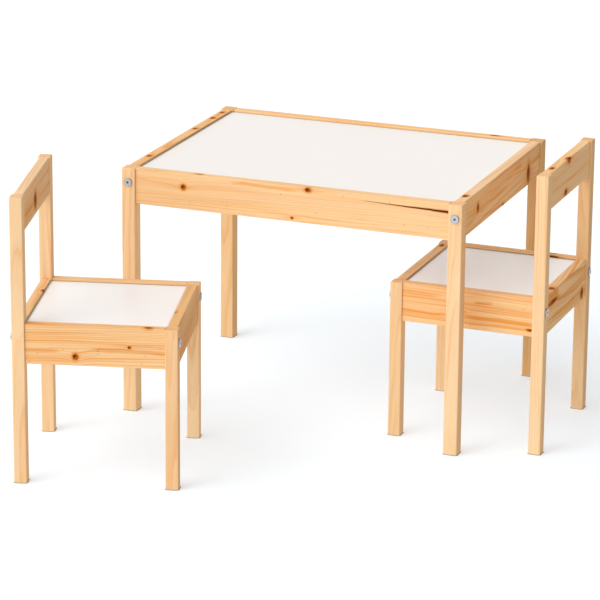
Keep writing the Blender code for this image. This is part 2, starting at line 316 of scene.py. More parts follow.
class Shader:
    """A short way to write node trees."""

    def __init__(self, name, owner=None):
        self.material = owner or bpy.data.materials.new(name)
        self.material.use_nodes = True
        self.nodes = self.material.node_tree.nodes
        self.links = self.material.node_tree.links
        self.surface = self.nodes.get("Principled BSDF")

    def put(self, socket, value):
        if isinstance(value, bpy.types.NodeSocket):
            self.links.new(value, socket)
        elif isinstance(value, tuple) and len(value) == 3 and socket.type == "RGBA":
            socket.default_value = (*value, 1)
        else:
            socket.default_value = value

    def attribute(self, name, output="Vector"):
        node = self.nodes.new("ShaderNodeAttribute")
        node.attribute_name = name
        return node.outputs[output]

    def texture_place(self, output):
        return self.nodes.new("ShaderNodeTexCoord").outputs[output]

    def math(self, operation, first, second=0.0, third=0.0, clamp=False):
        node = self.nodes.new("ShaderNodeMath")
        node.operation = operation
        node.use_clamp = clamp
        for socket, value in zip(node.inputs, (first, second, third)):
            self.put(socket, value)
        return node.outputs[0]

    def vector(self, operation, first, second=(0, 0, 0), output="Vector"):
        node = self.nodes.new("ShaderNodeVectorMath")
        node.operation = operation
        self.put(node.inputs[0], first)
        self.put(node.inputs[1], second)
        return node.outputs[output]

    def split(self, vector):
        node = self.nodes.new("ShaderNodeSeparateXYZ")
        self.put(node.inputs[0], vector)
        return node.outputs

    def join(self, x, y, z):
        node = self.nodes.new("ShaderNodeCombineXYZ")
        for socket, value in zip(node.inputs, (x, y, z)):
            self.put(socket, value)
        return node.outputs[0]

    def noise(self, vector, rate, detail=2.0, roughness=0.5, output="Fac"):
        """Noise with this many changes a metre along each direction."""
        node = self.nodes.new("ShaderNodeTexNoise")
        self.put(node.inputs["Vector"], self.vector("MULTIPLY", vector, rate))
        node.inputs["Scale"].default_value = 1
        node.inputs["Detail"].default_value = detail
        node.inputs["Roughness"].default_value = roughness
        return node.outputs[output]

    def ramp(self, value, low, high, start=0.0, end=1.0):
        """start below low, end above high, and a smooth step between them."""
        node = self.nodes.new("ShaderNodeMapRange")
        node.interpolation_type = "SMOOTHSTEP"
        for name, number in (
            ("Value", value), ("From Min", low), ("From Max", high), ("To Min", start), ("To Max", end)
        ):
            self.put(node.inputs[name], number)
        return node.outputs[0]

    def curve(self, value, stops):
        """A run of straight steps through (place, height)."""
        node = self.nodes.new("ShaderNodeValToRGB")
        while len(node.color_ramp.elements) < len(stops):
            node.color_ramp.elements.new(0.5)
        for element, (place, height) in zip(node.color_ramp.elements, stops):
            element.position = place
            element.color = (height, height, height, 1)
        self.put(node.inputs[0], value)
        return node.outputs[0]

    def mix(self, factor, first, second, blend="MIX"):
        node = self.nodes.new("ShaderNodeMix")
        node.data_type = "RGBA"
        node.blend_type = blend
        colors = [socket for socket in node.inputs if socket.type == "RGBA"]
        self.put(node.inputs[0], factor)
        self.put(colors[0], first)
        self.put(colors[1], second)
        return next(socket for socket in node.outputs if socket.type == "RGBA")

    def bump(self, height, depth, strength=1.0):
        node = self.nodes.new("ShaderNodeBump")
        node.inputs["Strength"].default_value = strength
        node.inputs["Distance"].default_value = depth
        self.put(node.inputs["Height"], height)
        self.links.new(node.outputs[0], self.surface.inputs["Normal"])

    def finish(self, **values):
        for name, value in values.items():
            self.put(self.surface.inputs[name.replace("_", " ")], value)
        return self.material


# ---------------------------------------------------------------- pine


def summed(shader, values):
    total = values[0]
    for value in values[1:]:
        total = shader.math("ADD", total, value)
    return total


def bell(shader, offset, widths):
    """1 at the middle, falling smoothly to nothing a couple of widths away."""
    distance = shader.vector("LENGTH", shader.vector("DIVIDE", offset, widths), output="Value")
    return shader.math("EXPONENT", shader.math("MULTIPLY", shader.math("POWER", distance, 2.0), -1.0))


def knot_marks(shader, place, field, knots):
    """Distance to the nearest knot (1 at its rim) and its core, how far rings bend, and the amber tails."""
    uneven = shader.math("MULTIPLY_ADD", shader.noise(field, (420, 420, 420), 2), 0.8, -0.4)
    rims, cores, bends, tails = [], [], [], []
    for middle, radii in knots:
        offset = shader.vector("SUBTRACT", place, middle)
        rims.append(shader.vector("LENGTH", shader.vector("DIVIDE", offset, radii), output="Value"))
        aside = shader.vector("ADD", offset, (radii[0] * 0.25, 0, -radii[2] * 0.15))
        inner = tuple(0.6 * radius for radius in radii)
        cores.append(shader.vector("LENGTH", shader.vector("DIVIDE", aside, inner), output="Value"))
        size = min(radii[0], radii[2], 0.006)
        wide = (radii[0] + 2.6 * size, radii[1] + 1.4 * size, radii[2] + 1.4 * size)
        bends.append(shader.math("MULTIPLY", bell(shader, offset, wide), size * 0.9))
        tails.append(bell(shader, offset, (radii[0] + 6 * size, radii[1], radii[2] * 0.9)))
    nearest, core = rims[0], cores[0]
    for rim, dark in zip(rims[1:], cores[1:]):
        nearest = shader.math("MINIMUM", nearest, rim)
        core = shader.math("MINIMUM", core, dark)
    nearest = shader.math("ADD", nearest, uneven)
    core = shader.math("ADD", core, uneven)
    return nearest, core, summed(shader, bends), summed(shader, tails)


def resin_bands(shader, place, lines, wander, bands):
    """How far the wood is soaked with resin along a list of bands that run with the grain."""
    along, _, up = shader.split(place)
    height = shader.math("ADD", up, wander)
    streaky = shader.ramp(lines, 0.30, 0.65, 0.35, 1.0)
    soaked = []
    for start, end, start_height, end_height, half, strength in bands:
        travel = shader.math("DIVIDE", shader.math("SUBTRACT", along, start), end - start)
        line = shader.math("MULTIPLY_ADD", travel, end_height - start_height, start_height)
        off = shader.math("ABSOLUTE", shader.math("SUBTRACT", height, line))
        inside = shader.ramp(off, 0.4 * half, 1.4 * half, strength, 0.0)
        begins, stops = shader.ramp(travel, 0.0, 0.25), shader.ramp(travel, 0.75, 1.0, 1.0, 0.0)
        ends = shader.math("MULTIPLY", begins, stops)
        soaked.append(shader.math("MULTIPLY", inside, ends))
    return shader.math("MULTIPLY", summed(shader, soaked), streaky, clamp=True)


def ring_radius(shader, place, field, pith, lean):
    """How far a point is from a pith that leans and wavers along the bar."""
    waver = shader.noise(field, (3.5, 24, 24), 2, output="Color")
    waver = shader.vector("MULTIPLY", shader.vector("SUBTRACT", waver, HALF), PITH_WAVER)
    ripple = shader.noise(field, (14, 160, 160), 2, output="Color")
    ripple = shader.vector("MULTIPLY", shader.vector("SUBTRACT", ripple, HALF), RING_RIPPLE)
    wavy = shader.vector("ADD", shader.vector("ADD", place, waver), ripple)
    along, across, height = shader.split(wavy)
    off_across = shader.math("SUBTRACT", across, shader.math("MULTIPLY_ADD", along, lean[0], pith[0]))
    off_height = shader.math("SUBTRACT", height, shader.math("MULTIPLY_ADD", along, lean[1], pith[1]))
    return shader.vector("LENGTH", shader.join(0.0, off_across, off_height), output="Value")


def late_wood(shader, radius, shift, ring_width):
    """Where the dark late wood of the growth rings lies."""
    spacing = shader.noise(shader.join(radius, shift[0], 0.0), (95, 1, 1), 1)
    rings = shader.math("MULTIPLY_ADD", spacing, 1.3, shader.math("DIVIDE", radius, ring_width))
    return shader.curve(shader.math("FRACT", rings), LATEWOOD_CURVE)


def clear_wood(shader, field, banded, late, contrast, rose):
    """The wood's colour without resin: pale and rosy zones along the rings, and late wood lines."""
    pale_zone = shader.ramp(shader.noise(banded, (2.0, 75, 1), 2), 0.42, 0.66)
    rose_field = shader.vector("ADD", banded, (5, 5, 5))
    rose_zone = shader.ramp(shader.noise(rose_field, (1.8, 90, 1), 2), 0.45, 0.66)
    color = shader.mix(shader.math("MULTIPLY", pale_zone, 0.6), EARLYWOOD, PALEWOOD)
    color = shader.mix(shader.math("MULTIPLY", rose_zone, 0.6 * rose), color, ROSYWOOD)
    patches = shader.noise(field, (5, 45, 45), 2)
    strength = shader.ramp(patches, 0.30, 0.70, 0.20 * contrast, 0.85 * contrast)
    return shader.mix(shader.math("MULTIPLY", late, strength, clamp=True), color, LATEWOOD)


def soaked_wood(shader, place, field, banded, late, lines, amber, tails, bands):
    """How far the wood is soaked with resin: along some rings, beside knots and in bands."""
    amber_field = shader.vector("ADD", banded, (9, 9, 9))
    amber_zone = shader.ramp(shader.noise(amber_field, (2.6, 130, 1), 2), 0.48, 0.66)
    soaked = shader.math("MULTIPLY", amber_zone, shader.math("MULTIPLY_ADD", late, 0.6, 0.35))
    soaked = shader.math("MULTIPLY", soaked, amber)
    if tails is not None:
        tails = shader.math("MULTIPLY", tails, shader.ramp(lines, 0.35, 0.60, 0.15, 0.7))
        soaked = shader.math("MAXIMUM", soaked, tails)
    if bands:
        wander = shader.noise(field, (16, 1, 1), 2)
        wander = shader.math("MULTIPLY_ADD", wander, BAND_WANDER, -BAND_WANDER / 2)
        soaked = shader.math("MAXIMUM", soaked, resin_bands(shader, place, lines, wander, bands))
    return soaked


def streaked(shader, color, fibre, lines):
    """Fine light and dark streaks along the grain."""
    shade = shader.math("MULTIPLY_ADD", fibre, 0.14, 0.93)
    shade = shader.math("MULTIPLY", shade, shader.math("MULTIPLY_ADD", lines, 0.26, 0.87))
    return shader.vector("MULTIPLY", color, shader.join(shade, shade, shade))


def toned(shader, color, place, tone, dim, painted_sheen_above):
    """tone turns the wood warmer, dim darkens it, and near its top face the wood is lightened with a painted
    sheen.
    """
    if tone or dim:
        tint = tuple((1.0 - share * tone) * (1.0 - dim) for share in TONE_TINT)
        color = shader.vector("MULTIPLY", color, tint)
    # Painted sheen: the top face is lightened as if lit from above.
    if painted_sheen_above:
        up = shader.split(place)[2]
        above = shader.ramp(up, painted_sheen_above - 0.001, painted_sheen_above, 0.0, TOP_SHEEN_MIX)
        color = shader.mix(above, color, TOP_SHEEN)
    return color


def worked(shader, color, end):
    """Sawn ends soak up more lacquer, and rounded edges are a little paler, partly from sanding and partly as
    a painted highlight.
    """
    edge = shader.attribute("edge", "Fac")
    color = shader.mix(shader.math("MULTIPLY", end, 0.30), color, LATEWOOD)
    # Rounded edges lightened: partly sanded wood, partly a painted highlight.
    return shader.mix(shader.math("MULTIPLY", edge, 0.30), color, PALEWOOD)


def pine(
    name, seed, ring_width, pith, lean, contrast, amber, rose, tone=0.0, dim=0.0, dots=0.0,
    knots=(), bands=(), streak=None, painted_sheen_above=None
):
    """Knotty pine under a clear satin lacquer, drawn from the grain attribute in metres."""
    draw = random.Random(seed)
    shader = Shader(name)
    place = shader.attribute("grain")
    shift = tuple(draw.uniform(-40, 40) for _ in range(3))
    field = shader.vector("ADD", place, shift)

    radius = ring_radius(shader, place, field, pith, lean)
    tails = None
    if knots:
        nearest, core, bend, tails = knot_marks(shader, place, field, knots)
        radius = shader.math("ADD", radius, bend)
    late = late_wood(shader, radius, shift, ring_width)
    banded = shader.vector("ADD", shader.join(shader.split(place)[0], radius, 0.0), shift)
    lines = shader.noise(banded, (4, 520, 1), 2, 0.6)
    fibre = shader.noise(field, (16, 1000, 1000), 3, 0.6)

    color = clear_wood(shader, field, banded, late, contrast, rose)
    soaked = soaked_wood(shader, place, field, banded, late, lines, amber, tails, bands)
    color = streaked(shader, shader.mix(soaked, color, AMBER), fibre, lines)
    color = resin_marks(shader, color, field, dots)
    color = toned(shader, color, place, tone, dim, painted_sheen_above)
    end = shader.attribute("end", "Fac")
    color = worked(shader, color, end)
    if knots:
        color = knot_colors(shader, color, nearest, core)
    if streak:
        color = pitch_streak(shader, color, place, field, streak)
    return lacquered(shader, color, fibre, late, end)


def lacquered(shader, color, fibre, late, end):
    """A thin satin lacquer that follows the grain's relief and is duller on sawn ends."""
    roughness = shader.math("MULTIPLY_ADD", fibre, 0.16, 0.38)
    roughness = shader.math("MULTIPLY_ADD", end, 0.15, roughness)
    relief = shader.math("MULTIPLY_ADD", fibre, 0.5, shader.math("MULTIPLY", late, 0.5))
    shader.bump(relief, GRAIN_RELIEF, 0.6)
    return shader.finish(
        Base_Color=color, Roughness=roughness, Specular_IOR_Level=0.0,
        Coat_Weight=LACQUER, Coat_Roughness=LACQUER_ROUGHNESS
    )


def resin_marks(shader, color, field, dots):
    """Short resin ducts, and round resin dots where dots is over 0."""
    ducts = shader.ramp(shader.noise(field, (90, 1500, 1500), 1), 0.70, 0.80)
    color = shader.mix(shader.math("MULTIPLY", ducts, 0.40), color, AMBER)
    if not dots:
        return color
    spots = shader.nodes.new("ShaderNodeTexVoronoi")
    spots.inputs["Scale"].default_value = 1
    shader.put(spots.inputs["Vector"], shader.vector("MULTIPLY", field, (38, 75, 75)))
    return shader.mix(shader.ramp(spots.outputs["Distance"], 0.035, 0.085, dots, 0.0), color, KNOT_BODY)


def knot_colors(shader, color, nearest, core):
    """A brown knot with its own small rings, a dark off-centre core, a dark rim and an orange halo."""
    color = shader.mix(shader.ramp(nearest, 0.9, 2.2, 0.95, 0.0), color, KNOT_HALO)
    wave = shader.math("SINE", shader.math("MULTIPLY", nearest, 16.0))
    turns = shader.math("MULTIPLY_ADD", wave, 0.25, 0.25)
    inside = shader.mix(turns, KNOT_BODY, KNOT_RIM)
    inside = shader.mix(shader.ramp(nearest, 0.62, 0.92, 0.0, 0.7), inside, KNOT_RIM)
    inside = shader.mix(shader.ramp(core, 0.55, 1.15, 1.0, 0.0), inside, KNOT_CORE)
    return shader.mix(shader.ramp(nearest, 0.85, 1.20, 1.0, 0.0), color, inside)


def pitch_streak(shader, color, place, field, streak):
    """A black resin pocket with brown edges that widens from its start to its end."""
    start, end, height, slope, widest = streak
    along, _, up = shader.split(place)
    travel = shader.math("DIVIDE", shader.math("SUBTRACT", along, start), end - start)
    line = shader.math("MULTIPLY_ADD", travel, slope, height)
    wander = shader.noise(field, (60, 10, 10), 2)
    wander = shader.math("MULTIPLY_ADD", wander, STREAK_WANDER, -STREAK_WANDER / 2)
    off = shader.math("ABSOLUTE", shader.math("SUBTRACT", shader.math("ADD", up, wander), line))
    opened = shader.math("POWER", shader.math("MAXIMUM", travel, 0.0), 1.6)
    half = shader.math("MULTIPLY_ADD", opened, widest, 0.0002)
    reach = shader.math("DIVIDE", off, half)
    begun = shader.ramp(travel, 0.0, 0.10)
    edge = shader.math("MULTIPLY", shader.ramp(reach, 1.0, 2.8, 0.85, 0.0), begun)
    color = shader.mix(edge, color, KNOT_BODY)
    middle = shader.math("MULTIPLY", shader.ramp(reach, 0.6, 1.4, 0.95, 0.0), begun)
    return shader.mix(middle, color, PITCH)


def write_grain(made, node, along):
    """Gives a timber piece its grain coordinates, and marks its sawn ends and rounded edges."""
    axes = np.array(AXES[body_of(node)])
    low, high = own_box(node)
    middle = np.array((low + high) / 2)
    order = [along] + [i for i in range(3) if i != along]
    mesh = made.data
    own = vertex_points(mesh) @ axes.T - middle
    write_attribute(mesh, "grain", "FLOAT_VECTOR", "POINT", own[:, order])
    normals = np.empty(len(mesh.loops) * 3)
    mesh.corner_normals.foreach_get("vector", normals)
    facing = np.abs(normals.reshape(-1, 3) @ axes.T)
    write_attribute(mesh, "end", "FLOAT", "CORNER", np.clip(facing[:, along] * 2 - 1, 0, 1))
    write_attribute(mesh, "edge", "FLOAT", "CORNER", np.clip((1 - facing.max(axis=1)) / EDGE_TURN, 0, 1))


def timber_piece(node, along, whole_round, material):
    """A CAD bar with its plain chamfers worked into fine rounds; its bores, grooves and dowels stay."""
    low, high = own_box(node)
    axes = AXES[body_of(node)]
    made = copy_of(node, f"{node}_timber")
    bar = rounded_bar(low, high, axes, None if whole_round else along)
    smooth(combined(made, bar, "INTERSECT"))
    write_grain(made, node, along)
    return settle(made, node, material)


# ---------------------------------------------------------------- the timber list


def knot(along, across, up, length, width, height):
    """A knot's middle and half sizes in its bar, from millimetres."""
    return (
        (along / 1000, across / 1000, up / 1000),
        (length / 1000, width / 1000, height / 1000),
    )


def band(start, end, start_up, end_up, half, strength):
    """A resin-soaked band along a bar, its ends, heights and half height in millimetres."""
    return start / 1000, end / 1000, start_up / 1000, end_up / 1000, half / 1000, strength


# What is particular to a bar: its rings, its colouring, and its knots in millimetres from its middle.
# A knot lists where it is along, across and up the bar, and then its half sizes in those directions.
TIMBER = {
    # table_leg_rear_left, table_leg_rear_right and right_chair_post_rear_right are painted darker and warmer
    # as painted shade, for the shade they stand in; elsewhere dim only darkens a bar.
    "table_leg_front_right": dict(tone=-0.1, dim=0.03),
    "table_leg_rear_left": dict(tone=0.32, dim=0.10),
    "table_leg_rear_right": dict(tone=0.75, dim=0.22),
    "right_chair_post_rear_right": dict(tone=0.15, dim=0.14),
    "right_chair_post_rear_left": dict(tone=-0.1, dim=0.03),
    "right_chair_leg_front_left": dict(tone=0.0, dim=0.07),
    "left_chair_leg_front_right": dict(tone=0.15, dim=0.05),
    "table_rail_front": dict(
        ring_width=0.0030, pith=(0.030, -0.045), lean=(0.01, 0.035), contrast=0.8, amber=0.40, rose=0.5,
        tone=0.12,
        knots=(
            knot(-199, -9, 8, 4.6, 7, 4.6),
            knot(34, -9, 28, 5.4, 6, 3.8),
            knot(5, -9, -25, 2.4, 5, 2.2),
            knot(-172, 0, 32, 7.0, 2.0, 1.6),
        ),
        bands=(
            band(-120, 30, 27, 25, 3.0, 0.75),
            band(-300, -205, 16, 9, 1.6, 0.45),
            band(-80, 110, -18, -21, 2.4, 0.35),
            band(30, 180, 22, 20, 1.6, 0.35),
        ),
        streak=(0.130, 0.294, 0.0205, -0.0035, 0.0015),
    ),
    "table_rail_rear": dict(knots=(knot(222, 1, 32, 9.0, 3.0, 4.0), knot(-60, 9, -6, 5.0, 6, 5.0))),
    "table_rail_left": dict(
        knots=(
            knot(-148, 0, 32, 5.5, 4.0, 4.0),
            knot(61, 0, 32, 5.0, 4.0, 3.5),
            knot(146, 0, 32, 6.0, 4.5, 4.0),
            knot(191, 0, 32, 5.0, 4.0, 3.0),
            knot(-40, -9, -10, 5.0, 6, 5.0),
        ),
    ),
    "table_rail_right": dict(
        ring_width=0.0080, pith=(-0.020, 0.012), lean=(0.0, 0.05), contrast=1.2, amber=0.6, rose=0.9,
        tone=0.22, dim=0.06, painted_sheen_above=0.031,
        knots=(
            knot(-141, 9, 2, 5.0, 5, 7.5),
            knot(2, 9, -31, 5.5, 5, 3.4),
            knot(150, 9, -10, 8.0, 5, 16.0),
            knot(-179, -2, 32, 7.0, 5.0, 4.0),
        ),
        bands=(
            band(-125, 90, 15, 9, 1.5, 1.0),
            band(60, 160, 11, -2, 1.5, 0.9),
            band(-230, 60, -2, -3, 4.0, 0.8),
            band(-230, -110, 7, 4, 1.6, 0.8),
            band(-120, 230, 29, 26, 2.5, 0.7),
            band(-130, 20, -22, -27, 3.0, 0.7),
            band(150, 230, 4, 6, 5.0, 0.8),
        ),
    ),
    "left_chair_rail_right": dict(
        ring_width=0.0036, pith=(0.020, -0.05), lean=(0.0, 0.02), contrast=0.9, amber=0.9, rose=0.4,
        tone=0.30,
        knots=(
            knot(-33, -9, -19, 4.6, 6, 5.4),
            knot(58, -9, 1, 2.7, 5, 2.4),
            knot(90, -3, 35, 6.5, 4.0, 3.0),
        ),
        bands=(
            band(-40, 18, -15, -3, 1.8, 0.9),
            band(-20, 150, -5, -8, 3.4, 1.0),
            band(-10, 70, -3, -3, 1.2, 1.0),
            band(-150, -50, -9, -9, 3.6, 0.9),
            band(-150, -20, -24, -26, 4.0, 0.5),
            band(10, 130, 5, 2, 1.4, 0.7),
            band(-100, 60, 15, 13, 1.4, 0.4),
        ),
    ),
    "left_chair_rail_front": dict(
        knots=(knot(-41, -8, 35, 3.4, 3.2, 3.0),), tone=0.5, dim=0.08, amber=0.9, rose=0.8, contrast=1.2
    ),
    "left_chair_rail_rear": dict(knots=(knot(50, 8, 34, 5.0, 4.0, 4.0),)),
    "left_chair_rail_left": dict(knots=(knot(40, 9, 6, 4.5, 6, 4.5),)),
    "left_chair_backrest": dict(
        amber=0.8, rose=0.5, contrast=1.0, tone=-0.15, painted_sheen_above=0.031,
        knots=(knot(-12, 8, -7, 9.0, 6, 13.0),),
        bands=(
            band(-150, -10, -8, -8, 5.0, 1.0),
            band(0, 150, -10, -14, 1.5, 1.0),
            band(-150, 0, 2, 4, 1.5, 0.7),
        ),
    ),
    "right_chair_rail_left": dict(
        ring_width=0.0038, pith=(-0.020, 0.055), lean=(0.0, 0.02), contrast=1.0, amber=0.9, rose=0.5,
        tone=0.42,
        knots=(
            knot(9, 9, -4, 3.0, 5, 2.8),
            knot(-113, 9, -23, 5.0, 5, 2.2),
        ),
        bands=(
            band(-50, -8, 15, 14, 2.6, 1.0),
            band(-150, 30, -14, -13, 4.2, 1.0),
            band(-150, 30, -24, -24, 2.6, 1.0),
            band(-150, 0, 2, 3, 1.6, 0.7),
            band(20, 150, -14, -13, 2.6, 1.0),
            band(20, 150, -20, -19, 1.4, 0.8),
            band(40, 150, 20, 19, 5.0, 0.7),
            band(20, 150, 3, 2, 1.6, 0.6),
        ),
    ),
    "right_chair_rail_right": dict(
        knots=(
            knot(-66, -7, 35, 13.0, 4.2, 2.2),
            knot(-68, 9, 33, 17.0, 2.5, 2.2),
        ),
    ),
    "right_chair_rail_rear": dict(
        ring_width=0.0060, pith=(0.020, 0.020), lean=(0.0, 0.08), contrast=1.2, amber=0.9, rose=0.8,
        tone=0.15,
        knots=(
            knot(82, -9, 15, 24.0, 5, 4.0),
            knot(-97, -9, -21, 7.0, 5, 9.0),
            knot(70, -2, 35, 6.0, 5, 2.5),
        ),
        bands=(
            band(40, 130, 27, 27, 9.0, 1.0),
            band(-130, 70, 10, 8, 3.0, 0.9),
            band(-60, 110, -16, -14, 4.0, 0.9),
            band(-130, -20, -16, -14, 3.5, 0.8),
        ),
    ),
    "right_chair_rail_front": dict(knots=(knot(-103, 0, 35, 6.5, 4.0, 3.5),)),
    "right_chair_backrest": dict(
        amber=0.4, contrast=0.7, tone=-0.1,
        knots=(
            knot(9, -8, 32, 9.0, 5.0, 7.0),
            knot(25, -9, -24, 7.5, 5, 5.0),
            knot(84, 0, 32, 7.0, 4.0, 3.2),
        ),
        bands=(band(-130, 130, -4, -5, 1.8, 0.8),),
    ),
}


def timber_spec(node, seed):
    """What the list says about a bar, filled in by seeded draws where it says nothing."""
    draw = random.Random(seed)
    upright = "_leg_" in node or "_post_" in node
    spec = dict(
        ring_width=draw.uniform(0.0030, 0.0050),
        pith=(draw.uniform(-0.03, 0.03), draw.choice((-1, 1)) * draw.uniform(0.03, 0.07)),
        lean=(draw.uniform(-0.02, 0.02), draw.uniform(-0.03, 0.03)),
        tone=draw.uniform(-0.25, 0.1) if upright else draw.uniform(0.1, 0.5),
        contrast=0.65 if upright else draw.uniform(0.8, 1.2),
        amber=0.2 if upright else draw.uniform(0.4, 0.8),
        rose=draw.uniform(0.2, 0.5),
        dots=0.0 if upright else 0.6,
    )
    spec.update(TIMBER.get(node, {}))
    return spec


def make_timber():
    table_rails = {"front": FACING, "rear": FACING, "left": SIDEWAYS, "right": SIDEWAYS}
    chair_rails = {"front": SIDEWAYS, "rear": SIDEWAYS, "left": FACING, "right": FACING}
    bars = [(f"table_leg_{corner}", UPWARD, True) for corner in CORNERS]
    bars += [(f"table_rail_{side}", along, False) for side, along in table_rails.items()]
    for chair in ("left_chair", "right_chair"):
        for corner in CORNERS:
            kind = "leg" if corner.startswith("front") else "post"
            bars.append((f"{chair}_{kind}_{corner}", UPWARD, True))
        bars += [(f"{chair}_rail_{side}", along, False) for side, along in chair_rails.items()]
        bars.append((f"{chair}_backrest", SIDEWAYS, False))
    for seed, (node, along, whole_round) in enumerate(bars):
        material = pine(f"pine_{node}", seed + 1, **timber_spec(node, seed + 101))
        timber_piece(node, along, whole_round, material)


# ---------------------------------------------------------------- panels


def white_lacquer(name, opening, paint):
    """White paint on board, with a faint roller texture, soft smudges and a shaded line along its rails."""
    shader = Shader(name)
    place = shader.attribute("grain")
    from_middle = shader.vector("ABSOLUTE", place)
    _, facing_gap, side_gap = shader.split(shader.vector("SUBTRACT", opening, from_middle))
    to_rail = shader.math("MINIMUM", facing_gap, side_gap)
    line = shader.ramp(to_rail, 0.0, RAIL_SHADE_WIDTH, RAIL_SHADE_STRENGTH, 0.0)
    clouds = shader.noise(place, (9, 9, 9), 3)
    peel = shader.noise(place, (900, 900, 900), 2)
    specks = shader.ramp(shader.noise(place, (420, 420, 420), 1), 0.72, 0.80)
    darker = tuple((1 - PAINT_VARIATION) * part for part in paint)
    lighter = tuple((1 + PAINT_VARIATION) * part for part in paint)
    color = shader.mix(clouds, darker, lighter)
    color = shader.mix(shader.math("MULTIPLY", specks, 0.05), color, PAINT_SPECK)
    color = shader.mix(line, color, RAIL_SHADE)
    roughness = shader.math("MULTIPLY_ADD", shader.noise(place, (30, 30, 30), 3), 0.14, 0.28)
    shader.bump(peel, PAINT_RELIEF, 0.6)
    return shader.finish(Base_Color=color, Roughness=roughness, Specular_IOR_Level=0.30)


def make_panel(node):
    made = copy_of(node, f"{node}_board")
    edges = made.modifiers.new("soft_edges", "BEVEL")
    edges.width = PANEL_EDGE_RADIUS
    edges.segments = PANEL_EDGE_SEGMENTS
    edges.limit_method = "ANGLE"
    applied(made)
    smooth(made)
    write_grain(made, node, UPWARD)
    low, high = own_box(node)
    half = (high - low) / 2
    opening = (0.0, half[FACING] - PANEL_TONGUE, half[SIDEWAYS] - PANEL_TONGUE)
    material = white_lacquer(f"white_{node}", opening, PANEL_WHITES_WITH_PAINTED_LIGHT[body_of(node)])
    return settle(made, node, material)


# ---------------------------------------------------------------- fasteners


def bright_zinc():
    """Zinc plate with fine turned rings round its axis, painted shade on its rounded rim and painted shade in
    its socket.
    """
    shader = Shader("bright_zinc")
    place = shader.attribute("turned")
    depth, side, other = shader.split(place)
    radius = shader.vector("LENGTH", shader.join(0.0, side, other), output="Value")
    rings = shader.noise(shader.join(radius, 0.0, 0.0), (5200, 1, 1), 3)
    clouds = shader.noise(place, (350, 350, 350), 3)
    color = shader.mix(clouds, ZINC_DULL, ZINC_BRIGHT)
    # Painted shade: the rounded rim is darkened.
    rim = shader.ramp(radius, *ZINC_RIM_SHADE_RADII, 0.0, 0.75)
    color = shader.mix(rim, color, ZINC_RIM_SHADE)
    # Painted shade: the socket's inside is darkened.
    inside = shader.ramp(radius, *ZINC_SOCKET_SHADE_RADII, 1.0, 0.0)
    socket_shade = shader.math("MULTIPLY", shader.ramp(depth, *ZINC_SOCKET_SHADE_DEPTHS), inside)
    color = shader.mix(shader.math("MULTIPLY", socket_shade, 0.85), color, ZINC_SOCKET_SHADE)
    roughness = shader.math("MULTIPLY_ADD", clouds, 0.20, 0.20)
    shader.bump(rings, ZINC_RELIEF, 0.7)
    return shader.finish(Base_Color=color, Roughness=roughness, Metallic=1.0)


def turned(profile, steps=TURNED_SIDES):
    """A closed solid of (radius, along) points spun round X."""
    bm = bmesh.new()
    verts = [bm.verts.new((along, radius, 0)) for radius, along in profile]
    edges = [bm.edges.new(pair) for pair in zip(verts, verts[1:])]
    bmesh.ops.spin(
        bm, geom=verts + edges, cent=(0, 0, 0), axis=X_AXIS, angle=math.tau, steps=steps
    )
    bmesh.ops.remove_doubles(bm, verts=bm.verts, dist=1e-6)
    return bm


def rounded_rim(radius, size, count):
    """Points of a quarter circle from a flat end face out to the side of a turned piece."""
    return [
        (radius - size * (1 - math.sin(angle)), size * (1 - math.cos(angle)))
        for angle in np.linspace(0, math.pi / 2, count)
    ]


def bolt_profile(head_radius, length):
    """From the middle of the head's face to the tip. The thread is a row of ridges, not a helix."""
    shank = BOLT_SHANK_DIAMETER / 2
    points = [(0, 0)] + rounded_rim(head_radius, BOLT_HEAD_ROUND, BOLT_RIM_POINTS)
    points += [(head_radius, BOLT_HEAD_HEIGHT), (shank, BOLT_HEAD_HEIGHT)]
    along = length - BOLT_THREAD_LENGTH
    while along < length - 2 * BOLT_THREAD_PITCH:
        points += [(shank, along), (shank - BOLT_THREAD_DEPTH, along + BOLT_THREAD_PITCH / 2)]
        along += BOLT_THREAD_PITCH
    points += [(shank, along), (shank, length - shank / 2), (shank / 2, length), (0, length)]
    return points


def hexagon(width, start, end):
    """A six-sided prism along X, width across its flats."""
    bm = bmesh.new()
    radius = width / 2 / math.cos(math.pi / 6)
    corners = [
        (radius * math.cos(math.tau * i / 6), radius * math.sin(math.tau * i / 6)) for i in range(6)
    ]
    face = bm.faces.new([bm.verts.new((start, a, b)) for a, b in corners])
    raised = bmesh.ops.extrude_face_region(bm, geom=[face])["geom"]
    bmesh.ops.translate(
        bm, vec=X_AXIS * (end - start), verts=[v for v in raised if isinstance(v, bmesh.types.BMVert)]
    )
    return bm


def stand(made, node, place, inward):
    """Puts a piece built along X at its place, and keeps its own coordinates for its material."""
    write_attribute(made.data, "turned", "FLOAT_VECTOR", "POINT", vertex_points(made.data))
    side = UP.cross(inward)
    turn = Matrix((inward, side, UP)).transposed().to_4x4()
    to_scene = AXES[body_of(node)].transposed().to_4x4() @ Matrix.Translation(place) @ turn
    made.data.transform(to_scene)
    made.data.update()


def outward_sign(node, direction):
    """Which way along a direction a node stands from the middle of its body's seat or top."""
    low, high = own_box(node)
    body = body_of(node)
    panel = "table_top_panel" if body == "table" else f"{body}_seat_panel"
    panel_low, panel_high = own_box(panel)
    return 1 if ((low + high) - (panel_low + panel_high))[direction] > 0 else -1


